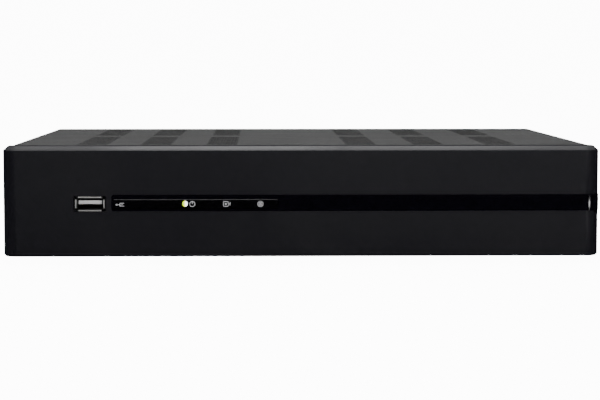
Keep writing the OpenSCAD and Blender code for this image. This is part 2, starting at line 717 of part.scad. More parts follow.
module switch_housing() color([0.06, 0.06, 0.06]) difference() {
    union() {
        block([sw_x - sw_body[0] / 2, panel_in - 13, sw_z - sw_body[1] / 2],
              [sw_x + sw_body[0] / 2, panel_out + 0.5, sw_z + sw_body[1] / 2]);
        block([sw_x - sw_bezel[0] / 2, panel_out, sw_z - sw_bezel[1] / 2],
              [sw_x + sw_bezel[0] / 2, panel_out + 1.8, sw_z + sw_bezel[1] / 2]);
    }
    block([sw_x - sw_cavity[0] / 2, sw_pivot_y - 5, sw_z - sw_cavity[1] / 2],
          [sw_x + sw_cavity[0] / 2, panel_out + 3, sw_z + sw_cavity[1] / 2]);
    translate([sw_x, sw_pivot_y, sw_z]) rotate([0, 90, 0])
        cylinder(d = pin_d + 2 * run, h = sw_body[0] + 2, center = true);
}

module switch_rocker() color([0.05, 0.05, 0.05]) translate([sw_x, sw_pivot_y, sw_z]) {
    rotate([rocker_tilt, 0, 0]) rotate([90, 0, 90]) translate([0, 0, -rocker_w / 2])
        linear_extrude(rocker_w)
            polygon([[-2.2, -6.6], [4.2, -7.2], [2.8, -1], [2.8, 1], [4.2, 7.2], [-2.2, 6.6]]);
    rotate([0, 90, 0]) cylinder(d = pin_d, h = sw_body[0] - 0.4, center = true);
}

// ---------- fan ----------

// Turns a shape drawn about the Z axis so that it lies on the fan's axis, its base at the frame's front
module on_fan() translate([fan_x, panel_in - fan_t, fan_z]) rotate([-90, 0, 0]) children();

module fan_frame() color([0.05, 0.05, 0.05]) on_fan() difference() {
    union() {
        linear_extrude(fan_t) difference() {
            round_rect(fan_s, fan_s, 3);
            circle(r = fan_bore_r);
        }
        cylinder(r = rotor_hub_r, h = 1.5);
        cylinder(d = fan_shaft_d, h = fan_t - 1.5);
        for (a = [30, 150, 270]) rotate(a)
            translate([rotor_hub_r - 1, -1.2, 0]) cube([fan_bore_r - rotor_hub_r + 2, 2.4, 1.5]);
    }
    for (sx = [-1, 1], sy = [-1, 1])
        translate([sx * fan_screw, sy * fan_screw, -1]) cylinder(d = clear_d, h = fan_t + 2);
}

module fan_rotor() color([0.07, 0.07, 0.07]) on_fan() difference() {
    union() {
        translate([0, 0, rotor_back]) cylinder(r = rotor_hub_r, h = fan_t - 1 - rotor_back);
        intersection() {
            translate([0, 0, rotor_back]) difference() {
                cylinder(r = rotor_r, h = fan_t - 1 - rotor_back);
                translate([0, 0, -1]) cylinder(r = rotor_hub_r - 0.5, h = fan_t);
            }
            for (i = [0 : blades - 1]) rotate(i * 360 / blades) translate([0, 0, fan_t / 2 + 0.6])
                rotate([38, 0, 0]) translate([rotor_hub_r - 2, -7, -0.5]) cube([12, 14, 1]);
        }
    }
    translate([0, 0, -1]) cylinder(d = fan_shaft_d + 2 * run, h = fan_t - 0.3);
}

module fan_screws() color([0.12, 0.12, 0.12]) for (sx = [-1, 1], sz = [-1, 1])
    translate([fan_x + sx * fan_screw, panel_out + head_h, fan_z + sz * fan_screw])
        rotate([90, 0, 0]) screw(9, 3.2);

// Flat lead from the fan to its plug on the main board
module fan_cable() color([0.1, 0.1, 0.1]) {
    p = [[fan_x + 12, panel_in - fan_t - 0.1], [fan_x + 12, 91], [fan_x + 16, 86], [-88, 86],
         [-86, 84], [-86, 80]];
    translate([0, 0, board_top + 1]) linear_extrude(2.6) polygon(cable_outline(p, 0.9));
    block([-89, 74.5, board_top], [-83, 80, board_top + 5]);
}

// ---------- disk drive ----------

drive_x1 = drive_x0 + drive_l;
drive_top = drive_z + drive_h;

module drive_plan(inset) translate([drive_x0 + drive_l / 2, drive_y])
    round_rect(drive_l - 2 * inset, drive_w - 2 * inset, 3);

module drive_case() color([0.7, 0.71, 0.73]) {
    difference() {
        translate([0, 0, drive_z]) linear_extrude(drive_h - drive_lid_t) drive_plan(0);
        translate([0, 0, bowl_floor]) linear_extrude(drive_h) {
            translate(spindle) circle(r = bowl_r);
            translate([drive_x0 + 4, drive_y - drive_w / 2 + 4]) square([70, drive_w - 8]);
        }
        block([drive_x0 - 1, drive_y - 42, drive_z - 1], [drive_x1 - 8, drive_y + 42, drive_z + 2.2]);
        block([drive_x0 - 1, drive_y - 36, drive_z - 1], [drive_x0 + 5, drive_y + 36, drive_z + 5]);
        for (x = drive_hole_x, y = drive_hole_y) translate([x, y, drive_z - 1]) cylinder(d = 3.5, h = 5);
    }
    translate([spindle[0], spindle[1], bowl_floor - 1]) cylinder(d = spindle_pin_d, h = 12);
    translate([arm_pivot[0], arm_pivot[1], bowl_floor - 1]) cylinder(d = arm_pin_d, h = 13);
}

module drive_lid() color([0.75, 0.76, 0.78])
    translate([0, 0, drive_top - drive_lid_t]) linear_extrude(drive_lid_t) drive_plan(1);

module drive_board() color([0.05, 0.25, 0.3]) {
    block([drive_x0 + 1, drive_y - 40, drive_z + 0.5], [drive_x1 - 30, drive_y + 40, drive_z + 2]);
    block([drive_x0 + 0.2, drive_y - 26, drive_z + 2], [drive_x0 + 4.4, drive_y + 26, drive_z + 4.6]);
}

module drive_platter() color([0.85, 0.86, 0.88]) translate([spindle[0], spindle[1], 0]) difference() {
    union() {
        translate([0, 0, platter_z]) cylinder(r = platter_r, h = platter_t);
        translate([0, 0, bowl_floor + 0.6]) cylinder(r = hub_r, h = 9.4);
    }
    cylinder(d = spindle_pin_d + 2 * run, h = 60);
    for (a = [0 : 60 : 300]) rotate(a) translate([8.5, 0, bowl_floor + 7]) cylinder(d = 2.4, h = 5);
}

module drive_head_arm() color([0.8, 0.8, 0.82]) translate([arm_pivot[0], arm_pivot[1], 0]) difference() {
    union() {
        translate([0, 0, arm_z - 0.4]) cylinder(d = 15, h = 5.4);
        rotate(arm_angle) {
            translate([0, 0, arm_z]) linear_extrude(arm_t)
                polygon([[0, -6.5], [30, -3.2], [arm_l, -1.4], [arm_l, 1.4], [30, 3.2], [0, 6.5],
                         [-18, 11], [-24, 8], [-25.3, 0], [-24, -8], [-18, -11]]);
            translate([arm_l - 3, -0.8, arm_z - 0.5]) cube([2.4, 1.6, 1]);
        }
    }
    cylinder(d = arm_pin_d + 2 * run, h = 60);
}

// Magnet plate under the coil end of the arm
module drive_magnet() color([0.6, 0.6, 0.62])
    translate([arm_pivot[0], arm_pivot[1], bowl_floor]) difference() {
    intersection() {
        cylinder(r = 26.5, h = 7);
        rotate(180 + arm_angle - 14) translate([10, -22, 0]) cube([20, 44, 7]);
    }
    translate([0, 0, -1]) cylinder(r = 12, h = 9);
}

module drive_screws() color([0.8, 0.8, 0.8]) for (x = drive_hole_x, y = drive_hole_y)
    translate([x, y, tray_z - head_h]) screw(6.5, drive_screw_d, 6);

// Data and power leads, each with a plug at the drive and one on the main board
module drive_cables() color([0.5, 0.08, 0.08]) {
    lead([drive_y + 17, 9], [[-17, drive_y + 17], [-26, drive_y + 17], [-31, drive_y + 22], [-31, 16]]);
    lead([drive_y - 9, 20], [[-17, drive_y - 9], [-40, drive_y - 9], [-48, drive_y], [-48, 16]]);
}

module lead(plug, p) {
    end = p[len(p) - 1];
    z = board_top + 0.4;
    block([drive_x0 - 10, plug[0] - plug[1] / 2, z - 3], [drive_x0 - 0.2, plug[0] + plug[1] / 2, z + 5]);
    translate([0, 0, z]) linear_extrude(5) polygon(cable_outline(p, 1.4));
    block([end[0] - 5, end[1] - 2, board_top], [end[0] + 5, end[1] + 8, board_top + 8]);
}

front_bezel();
gloss_strip();
indicator_window();
light_pipes();
front_leds();
ir_receiver();
front_usb_shell();
front_usb_tongue();
front_usb_contacts();
front_board();
front_ribbon();
chassis_tray();
rear_panel();
top_cover();
rubber_feet();
cover_screws();
chassis_screws();
board_standoffs();
board_screws();
main_board();
soc_heatsink();
board_chips();
board_capacitors();
coin_cell();
coin_cell_holder();
bnc_housings();
bnc_barrels();
bnc_insulators();
bnc_contacts();
audio_housing();
audio_shells();
audio_inserts();
vga_shell();
vga_insert();
vga_jack_screws();
hdmi_shell();
hdmi_tongue();
ethernet_shell();
ethernet_insert();
rear_usb_shell();
rear_usb_tongues();
terminal_block();
terminal_screws();
dc_inlet();
dc_inlet_pin();
ground_screw();
switch_housing();
switch_rocker();
fan_frame();
fan_rotor();
fan_screws();
fan_cable();
drive_case();
drive_lid();
drive_board();
drive_platter();
drive_head_arm();
drive_magnet();
drive_screws();
drive_cables();
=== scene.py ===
# %% [markdown]
# # A compact video recorder
# The recorder is a steel box with a moulded black front. Its real sizes, its places and its moving
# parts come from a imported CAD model, which is loaded here as a fixed frame. This notebook adds the
# camera, the finishes, and the small pieces that give the object its look.
# %% Load the frame
import math

import bmesh
import bpy
from mathutils import Matrix, Vector
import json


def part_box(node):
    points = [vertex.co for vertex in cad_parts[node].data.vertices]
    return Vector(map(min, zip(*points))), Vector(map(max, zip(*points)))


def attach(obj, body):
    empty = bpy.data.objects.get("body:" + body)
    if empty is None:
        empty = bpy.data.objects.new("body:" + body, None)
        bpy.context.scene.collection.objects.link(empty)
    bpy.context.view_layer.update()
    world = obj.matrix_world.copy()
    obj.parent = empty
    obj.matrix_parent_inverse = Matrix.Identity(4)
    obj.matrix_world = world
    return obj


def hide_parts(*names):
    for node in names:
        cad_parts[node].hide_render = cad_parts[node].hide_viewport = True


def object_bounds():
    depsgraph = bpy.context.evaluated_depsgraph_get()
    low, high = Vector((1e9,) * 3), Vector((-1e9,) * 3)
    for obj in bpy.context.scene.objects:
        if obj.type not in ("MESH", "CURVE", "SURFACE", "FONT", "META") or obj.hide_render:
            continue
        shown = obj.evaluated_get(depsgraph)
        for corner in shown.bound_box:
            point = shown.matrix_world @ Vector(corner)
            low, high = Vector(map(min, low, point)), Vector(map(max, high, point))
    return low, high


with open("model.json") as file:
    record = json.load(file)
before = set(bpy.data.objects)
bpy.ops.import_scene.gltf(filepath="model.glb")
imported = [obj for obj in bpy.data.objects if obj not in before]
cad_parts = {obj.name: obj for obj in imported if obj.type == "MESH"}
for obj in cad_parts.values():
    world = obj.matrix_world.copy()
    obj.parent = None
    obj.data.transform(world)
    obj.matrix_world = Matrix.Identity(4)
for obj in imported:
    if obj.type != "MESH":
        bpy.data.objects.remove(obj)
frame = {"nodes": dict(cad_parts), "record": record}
cad_box = [list(corner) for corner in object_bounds()]
MM = 0.001
_, FRONT, FLOOR = cad_box[0]
print("recorder measures", [round((b - a) / MM, 1) for a, b in zip(*cad_box)], "mm")

# %% [markdown]
# ## Camera
# A long lens, a little above the lid and two centimetres left of the middle, keeps the front nearly
# square on while the lid still shows as a thin trapezium. The lens is turned and not shifted, so
# that every other view frames the object as well as this one does.
# %% Aim the camera
CAMERA_LEFT = 19.9 * MM
CAMERA_AHEAD = 906 * MM
CAMERA_HEIGHT = 102.7 * MM
CAMERA_YAW = math.radians(1.197)
CAMERA_PITCH = math.radians(4.462)
LENS_MM, SENSOR_MM = 108.84, 36

camera = bpy.data.objects.new("camera", bpy.data.cameras.new("camera"))
camera.data.lens = LENS_MM
camera.data.sensor_width = SENSOR_MM
camera.location = (-CAMERA_LEFT, FRONT - CAMERA_AHEAD, FLOOR + CAMERA_HEIGHT)
camera.rotation_euler = (math.pi / 2 - CAMERA_PITCH, 0, -CAMERA_YAW)
bpy.context.collection.objects.link(camera)
bpy.context.scene.camera = camera
print("camera stands", round(CAMERA_AHEAD, 3), "m in front")

# %% [markdown]
# ## Helpers for new pieces
# Every new piece starts as a bmesh, which is Blender's own workbench for meshes. `finish_piece`
# turns it into an object at the origin, gives it a material, and makes it ride on a CAD body.
# Normals are recalculated once the doubles are merged, so that every face points outwards.
# %% Make and place a piece
MERGE = 0.5e-6


def finish_piece(name, mesh, finish, body="case", smooth=False):
    bmesh.ops.remove_doubles(mesh, verts=mesh.verts, dist=MERGE)
    bmesh.ops.recalc_face_normals(mesh, faces=mesh.faces)
    data = bpy.data.meshes.new(name)
    mesh.to_mesh(data)
    mesh.free()
    data.materials.append(finish)
    data.polygons.foreach_set("use_smooth", [smooth] * len(data.polygons))
    piece = bpy.data.objects.new(name, data)
    bpy.context.collection.objects.link(piece)
    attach(piece, body)
    print(name, "has", len(data.polygons), "faces")
    return piece


def add_block(mesh, low, high):
    low, high = Vector(low), Vector(high)
    made = bmesh.ops.create_cube(mesh, size=1, matrix=Matrix.Translation((low + high) / 2)
                                 @ Matrix.Diagonal((*(high - low), 1)))
    return made["verts"]


# %% [markdown]
# ## Surface effects
# Three effects come back in nearly every finish, so each is a shader node group that is built once.
# *Speckle* is the fine grain of powder coat and of spark-eroded moulds. *Handling* is the slow,
# cloudy change in gloss that fingers and dust leave. *Brushed* is grain drawn out along one axis.
# They put out masks and heights only, and the material decides what those do.
# %% Start a node group
def start_group(name, inputs, outputs):
    group = bpy.data.node_groups.new(name, "ShaderNodeTree")
    for label, kind, value in inputs:
        socket = group.interface.new_socket(label, in_out="INPUT", socket_type=kind)
        if value is not None:
            socket.default_value = value
    for label in outputs:
        group.interface.new_socket(label, in_out="OUTPUT", socket_type="NodeSocketFloat")
    return group, group.nodes.new("NodeGroupInput"), group.nodes.new("NodeGroupOutput")


# %% Speckle, handling and brushed grain
def speckle_group():
    group, given, result = start_group(
        "speckle", [("Place", "NodeSocketVector", None), ("Scale", "NodeSocketFloat", 1500)],
        ["Height", "Mask"])
    fine = group.nodes.new("ShaderNodeTexNoise")
    fine.inputs["Detail"].default_value = 4
    fine.inputs["Roughness"].default_value = 0.65
    cells = group.nodes.new("ShaderNodeTexVoronoi")
    spread = group.nodes.new("ShaderNodeMapRange")
    spread.inputs["From Min"].default_value = 0.32
    spread.inputs["From Max"].default_value = 0.68
    mix = group.nodes.new("ShaderNodeMath")
    mix.operation = "ADD"
    for node in (fine, cells):
        group.links.new(given.outputs["Place"], node.inputs["Vector"])
        group.links.new(given.outputs["Scale"], node.inputs["Scale"])
    group.links.new(fine.outputs["Fac"], spread.inputs["Value"])
    group.links.new(fine.outputs["Fac"], mix.inputs[0])
    group.links.new(cells.outputs["Distance"], mix.inputs[1])
    group.links.new(mix.outputs[0], result.inputs["Height"])
    group.links.new(spread.outputs[0], result.inputs["Mask"])
    return group


def handling_group():
    group, given, result = start_group(
        "handling", [("Place", "NodeSocketVector", None), ("Scale", "NodeSocketFloat", 14)], ["Mask"])
    clouds = group.nodes.new("ShaderNodeTexNoise")
    clouds.inputs["Detail"].default_value = 6
    clouds.inputs["Distortion"].default_value = 0.6
    ramp = group.nodes.new("ShaderNodeMapRange")
    ramp.inputs["From Min"].default_value = 0.35
    ramp.inputs["From Max"].default_value = 0.7
    group.links.new(given.outputs["Place"], clouds.inputs["Vector"])
    group.links.new(given.outputs["Scale"], clouds.inputs["Scale"])
    group.links.new(clouds.outputs["Fac"], ramp.inputs["Value"])
    group.links.new(ramp.outputs[0], result.inputs["Mask"])
    return group


def brushed_group():
    group, given, result = start_group(
        "brushed", [("Place", "NodeSocketVector", None), ("Stretch", "NodeSocketVector", (60, 3000, 3000))],
        ["Height"])
    stretch = group.nodes.new("ShaderNodeVectorMath")
    stretch.operation = "MULTIPLY"
    lines = group.nodes.new("ShaderNodeTexNoise")
    lines.inputs["Scale"].default_value = 1
    lines.inputs["Detail"].default_value = 3
    group.links.new(given.outputs["Place"], stretch.inputs[0])
    group.links.new(given.outputs["Stretch"], stretch.inputs[1])
    group.links.new(stretch.outputs[0], lines.inputs["Vector"])
    group.links.new(lines.outputs["Fac"], result.inputs["Height"])
    return group


SPECKLE, HANDLING, BRUSHED = speckle_group(), handling_group(), brushed_group()
print("surface effects:", SPECKLE.name, HANDLING.name, BRUSHED.name)

# %% [markdown]
# ## One recipe for a finish
# A finish here is a Principled shader whose colour and roughness both wander a little. The base
# colour is mixed towards a second colour by the speckle, the roughness by the handling mask, and the
# grain also lifts the surface through a Bump node. Values that never change go on the shader itself.
# %% Build a finish
def make_finish(name, colour, fleck, roughness, metallic=0.0, scale=1500, lift=0.1, wander=0.12,
                brushed=None, coat=0.0, specular=0.5, depth=0.1):
    material = bpy.data.materials.new(name)
    material.use_nodes = True
    nodes, links = material.node_tree.nodes, material.node_tree.links
    shader = nodes["Principled BSDF"]
    shader.inputs["Metallic"].default_value = metallic
    shader.inputs["Coat Weight"].default_value = coat
    shader.inputs["Coat Roughness"].default_value = 0.06
    shader.inputs["Specular IOR Level"].default_value = specular
    place = nodes.new("ShaderNodeTexCoord").outputs["Object"]

    def effect(group):
        node = nodes.new("ShaderNodeGroup")
        node.node_tree = group
        links.new(place, node.inputs["Place"])
        return node

    speckle, handling = effect(SPECKLE), effect(HANDLING)
    speckle.inputs["Scale"].default_value = scale
    mix = nodes.new("ShaderNodeMix")
    mix.data_type = "RGBA"
    mix.inputs["A"].default_value = (*colour, 1)
    mix.inputs["B"].default_value = (*fleck, 1)
    links.new(speckle.outputs["Mask"], mix.inputs["Factor"])
    links.new(mix.outputs["Result"], shader.inputs["Base Color"])
    gloss = nodes.new("ShaderNodeMapRange")
    gloss.inputs["To Min"].default_value = roughness
    gloss.inputs["To Max"].default_value = min(1, roughness + wander)
    links.new(handling.outputs["Mask"], gloss.inputs["Value"])
    links.new(gloss.outputs[0], shader.inputs["Roughness"])
    bump = nodes.new("ShaderNodeBump")
    bump.inputs["Strength"].default_value = lift
    bump.inputs["Distance"].default_value = depth * MM
    height = speckle.outputs["Height"]
    if brushed:
        grain = effect(BRUSHED)
        grain.inputs["Stretch"].default_value = brushed
        height = grain.outputs["Height"]
    links.new(height, bump.inputs["Height"])
    links.new(bump.outputs["Normal"], shader.inputs["Normal"])
    return material


# %% [markdown]
# ## The case finishes
# The lid is powder coated, which leaves a fine orange peel with paler flecks. The bezel is moulded in
# a mould with a fine spark texture. The strip is polished and the window over it is smoked.
# %% Finishes of the case and the front
POWDER = make_finish("powder_coat", (0.024, 0.024, 0.0245), (0.134, 0.134, 0.136), 0.4, scale=900, lift=0.6,
                     depth=0.2)
PANEL = make_finish("panel_coat", (0.03, 0.03, 0.032), (0.06, 0.06, 0.063), 0.5, scale=1500, lift=0.3)
MOULDED = make_finish("moulded_bezel", (0.0078, 0.0074, 0.0118), (0.0128, 0.0122, 0.0188), 0.34, scale=2200,
                      lift=0.12)
GLOSS = make_finish("gloss_strip", (0.0026, 0.0023, 0.0044), (0.0036, 0.0032, 0.006), 0.03, scale=300,
                    lift=0.004, wander=0.03)
SMOKED = make_finish("smoked_window", (0.0024, 0.0024, 0.003), (0.0034, 0.0034, 0.0042), 0.04, scale=300,
                     lift=0.003, wander=0.04, coat=0.8)
RUBBER = make_finish("foot_rubber", (0.012, 0.012, 0.012), (0.03, 0.03, 0.03), 0.75, scale=1200, lift=0.4)
GALVANISED = make_finish("galvanised_sheet", (0.42, 0.43, 0.44), (0.62, 0.63, 0.65), 0.34, 1, scale=160,
                         lift=0.05, wander=0.2)

# %% [markdown]
# ## Metals, plastics and boards
# Connector shells are plated, so they are smooth metal with a faint draw mark. Small black mouldings
# share one plastic. Each family differs in colour, gloss and grain, as the real parts do.
# %% Finishes of the small parts
NICKEL = make_finish("nickel_plate", (0.62, 0.6, 0.57), (0.7, 0.68, 0.65), 0.16, 1, scale=900, lift=0.04)
TIN = make_finish("tin_plate", (0.5, 0.5, 0.5), (0.64, 0.64, 0.64), 0.28, 1, lift=0.06,
                  brushed=(3000, 80, 3000))
ZINC = make_finish("zinc_plate", (0.5, 0.51, 0.54), (0.66, 0.66, 0.68), 0.3, 1, scale=1200, lift=0.08)
GOLD = make_finish("gold_flash", (0.75, 0.5, 0.17), (0.85, 0.62, 0.26), 0.2, 1, scale=1500, lift=0.03)
BRASS = make_finish("turned_brass", (0.5, 0.35, 0.13), (0.62, 0.45, 0.2), 0.3, 1, brushed=(900, 900, 6000))
BLACK_ZINC = make_finish("black_zinc", (0.03, 0.03, 0.03), (0.06, 0.06, 0.06), 0.35, 0.6, scale=1500)
BLACK = make_finish("small_moulding", (0.012, 0.012, 0.012), (0.025, 0.025, 0.025), 0.45, scale=1800)
CHIP = make_finish("chip_epoxy", (0.015, 0.015, 0.016), (0.03, 0.03, 0.032), 0.55, scale=2600, lift=0.2)
IVORY = make_finish("port_tongue", (0.86, 0.86, 0.85), (0.93, 0.93, 0.92), 0.4, scale=1200)
PTFE = make_finish("white_insulator", (0.8, 0.79, 0.75), (0.88, 0.87, 0.84), 0.45, scale=900)
RED = make_finish("red_insert", (0.5, 0.02, 0.02), (0.6, 0.035, 0.03), 0.3, scale=900)
BLUE = make_finish("blue_insert", (0.01, 0.05, 0.32), (0.02, 0.08, 0.4), 0.4, scale=1200)
GREEN = make_finish("terminal_green", (0.015, 0.2, 0.05), (0.03, 0.28, 0.08), 0.4, scale=1200)
MASK = make_finish("solder_mask", (0.006, 0.07, 0.025), (0.012, 0.13, 0.045), 0.25, scale=420, lift=0.05,
                   coat=0.4)
BLACK_MASK = make_finish("black_mask", (0.004, 0.005, 0.004), (0.008, 0.01, 0.008), 0.3, scale=420,
                         lift=0.05)
BLUE_MASK = make_finish("drive_mask", (0.004, 0.03, 0.09), (0.008, 0.06, 0.14), 0.25, scale=420, lift=0.05)
CAST = make_finish("die_cast", (0.4, 0.4, 0.41), (0.55, 0.55, 0.56), 0.42, 1, scale=700, lift=0.3)
BRUSHED_LID = make_finish("brushed_lid", (0.55, 0.55, 0.56), (0.66, 0.66, 0.67), 0.26, 1,
                          brushed=(60, 3500, 3500))
EXTRUDED = make_finish("extruded_fins", (0.5, 0.5, 0.51), (0.62, 0.62, 0.63), 0.35, 1,
                       brushed=(3000, 70, 3000))
MIRROR = make_finish("platter_mirror", (0.86, 0.86, 0.87), (0.89, 0.89, 0.9), 0.04, 1, scale=200, lift=0.002,
                     wander=0.02)
SLEEVE = make_finish("capacitor_sleeve", (0.01, 0.015, 0.06), (0.02, 0.03, 0.09), 0.3, scale=900)
GREY_CABLE = make_finish("flat_cable", (0.4, 0.4, 0.4), (0.52, 0.52, 0.52), 0.5, scale=900,
                         brushed=(900, 50, 50))
RED_CABLE = make_finish("data_lead", (0.3, 0.015, 0.015), (0.4, 0.025, 0.025), 0.45, scale=900)
PIPE = make_finish("light_pipe", (0.6, 0.7, 0.55), (0.7, 0.8, 0.62), 0.15, scale=600)
PRINT = make_finish("printed_ink", (0.72, 0.72, 0.74), (0.82, 0.82, 0.84), 0.5, scale=2400, lift=0.05)
RIM = make_finish("polished_rim", (0.07, 0.07, 0.07), (0.11, 0.11, 0.11), 0.16, 1, scale=900, lift=0.02)

# %% [markdown]
# ## The front port's shell
# The shell of the front port is bright at its lip and darker inside, and that dark inside is painted shade
# for the shade deep in the port. One finish can do both: depth into the port mixes the colour towards a dark
# one.
# %% Paint shade into the shell inwards
PORT_SHELL = make_finish("port_shell", (0.72, 0.72, 0.7), (0.82, 0.82, 0.8), 0.3, 0.35, scale=900, lift=0.02)


def darken_inwards(finish, lip, reach, dark):
    nodes, links = finish.node_tree.nodes, finish.node_tree.links
    colour = nodes["Principled BSDF"].inputs["Base Color"]
    split = nodes.new("ShaderNodeSeparateXYZ")
    links.new(nodes.new("ShaderNodeTexCoord").outputs["Object"], split.inputs[0])
    depth = nodes.new("ShaderNodeMapRange")
    depth.inputs["From Min"].default_value = lip
    depth.inputs["From Max"].default_value = lip + reach
    links.new(split.outputs["Y"], depth.inputs["Value"])
    mix = nodes.new("ShaderNodeMix")
    mix.data_type = "RGBA"
    mix.inputs["B"].default_value = (*dark, 1)
    links.new(depth.outputs[0], mix.inputs["Factor"])
    links.new(colour.links[0].from_socket, mix.inputs["A"])
    links.new(mix.outputs["Result"], colour)


# Painted shade: the shell's colour turns dark a little way inside the lip, for the shade in the port.
darken_inwards(PORT_SHELL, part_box("front_usb_shell")[0][1] + 0.25 * MM, 0.6 * MM, (0.03, 0.03, 0.03))
print("the port's shell is dark inside")

# %% [markdown]
# ## Give each CAD node its finish
# A CAD node keeps its shape and only changes its material. One table says which pieces share a
# finish, so that a look is changed in one place.
# %% Assign the finishes
FINISHES = {
    POWDER: ["top_cover"], PANEL: ["rear_panel"], MOULDED: ["front_bezel"], GLOSS: ["gloss_strip"],
    SMOKED: ["indicator_window"], RUBBER: ["rubber_feet"], GALVANISED: ["chassis_tray"],
    PORT_SHELL: ["front_usb_shell"], NICKEL: ["bnc_barrels", "audio_shells", "dc_inlet_pin"],
    TIN: ["vga_shell", "hdmi_shell", "ethernet_shell", "rear_usb_shell", "coin_cell", "drive_magnet"],
    ZINC: ["chassis_screws", "board_screws", "drive_screws", "vga_jack_screws", "terminal_screws",
           "ground_screw"],
    GOLD: ["front_usb_contacts", "bnc_contacts"], BRASS: ["board_standoffs"],
    BLACK_ZINC: ["cover_screws", "fan_screws"],
    BLACK: ["coin_cell_holder", "bnc_housings", "audio_housing", "hdmi_tongue", "ethernet_insert",
            "dc_inlet", "switch_housing", "switch_rocker", "fan_frame", "fan_rotor", "fan_cable",
            "ir_receiver"],
    CHIP: ["board_chips"], IVORY: ["front_usb_tongue", "rear_usb_tongues"], PTFE: ["bnc_insulators"],
    RED: ["audio_inserts"], BLUE: ["vga_insert"], GREEN: ["terminal_block"],
    MASK: ["main_board"], BLACK_MASK: ["front_board"], BLUE_MASK: ["drive_board"], CAST: ["drive_case"],
    BRUSHED_LID: ["drive_lid", "drive_head_arm"], EXTRUDED: ["soc_heatsink"], MIRROR: ["drive_platter"],
    SLEEVE: ["board_capacitors"], GREY_CABLE: ["front_ribbon"], RED_CABLE: ["drive_cables"],
    PIPE: ["light_pipes", "front_leds"],
}
for finish, nodes in FINISHES.items():
    for node in nodes:
        data = frame["nodes"][node].data
        data.materials.clear()
        data.materials.append(finish)
dressed = sum(len(nodes) for nodes in FINISHES.values())
print(dressed, "of", len(frame["nodes"]), "CAD nodes dressed")

# %% [markdown]
# ## Soft edges
# No moulded or bent edge is perfectly sharp, and the thin highlight along it is what makes a part
# look real. The CAD triangles are loose, so a Weld modifier joins them before a narrow Bevel.
# %% Soften the edges of the hard parts
SOFT_EDGES = {
    0.35: ["front_bezel"],
    0.22: ["switch_housing", "switch_rocker", "bnc_housings",
           "drive_case", "audio_housing"],
    0.12: ["terminal_block", "dc_inlet", "front_usb_tongue", "rear_usb_tongues", "soc_heatsink",
           "rear_panel", "drive_lid"],
}
for width, nodes in SOFT_EDGES.items():
    for node in nodes:
        piece = frame["nodes"][node]
        weld = piece.modifiers.new("weld", "WELD")
        weld.merge_threshold = 1e-6
        bevel = piece.modifiers.new("soft edge", "BEVEL")
        bevel.width = width * MM
        bevel.segments = 2
        bevel.limit_method = "ANGLE"
        bevel.angle_limit = math.radians(35)
        bevel.harden_normals = False
print("softened", sum(len(nodes) for nodes in SOFT_EDGES.values()), "nodes")

# %% [markdown]
# ## The perforated lid
# The lid is one sheet, punched and then folded into a channel. It could be cut with Booleans, but
# thousands of round cutters are slow. Instead, one patch is filled between its outline and its rings
# of vertices, copied to its twelve places, and the plain sheet is filled round the patches.
# %% Sizes of the lid
lid_low, lid_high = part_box("top_cover")
panel_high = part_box("rear_panel")[1]
SHEET = 1.2 * MM
FOLD = 1.4 * MM
PATCH_W, PATCH_L = 17 * MM, 92 * MM
HOLE_R, HOLE_PITCH, HOLE_SIDES = 1.1 * MM, 2.8 * MM, 8
PATCH_X = [x * MM for x in (-106.5, -74, -40.5, 30.5, 65, 102)]
PATCH_Y = [lid_low[1] + 49.8 * MM, lid_low[1] + 159.8 * MM]


# %% Punch one patch
def outline(mesh, low, high, z):
    """A rectangle of four edges in the plane of the sheet."""
    corners = [mesh.verts.new((x, y, z)) for x, y in
               ((low[0], low[1]), (high[0], low[1]), (high[0], high[1]), (low[0], high[1]))]
    return [mesh.edges.new((corners[i - 1], corners[i])) for i in range(4)]


def punched_patch():
    mesh = bmesh.new()
    outline(mesh, (-PATCH_W / 2, -PATCH_L / 2), (PATCH_W / 2, PATCH_L / 2), 0)
    row_step = HOLE_PITCH * math.sqrt(3) / 2
    rows = int((PATCH_L - 2 * HOLE_R) / row_step) + 1
    across = int((PATCH_W - 2 * HOLE_R) / HOLE_PITCH) + 1
    for row in range(rows):
        count = across - row % 2
        for column in range(count):
            centre = ((column - (count - 1) / 2) * HOLE_PITCH, (row - (rows - 1) / 2) * row_step, 0)
            bmesh.ops.create_circle(mesh, segments=HOLE_SIDES, radius=HOLE_R,
                                    matrix=Matrix.Translation(centre))
    bmesh.ops.triangle_fill(mesh, edges=mesh.edges, use_beauty=True)
    return mesh


patch = punched_patch()
patch_data = bpy.data.meshes.new("patch")
patch.to_mesh(patch_data)
patch.free()
print("one patch has", len(patch_data.polygons), "faces")


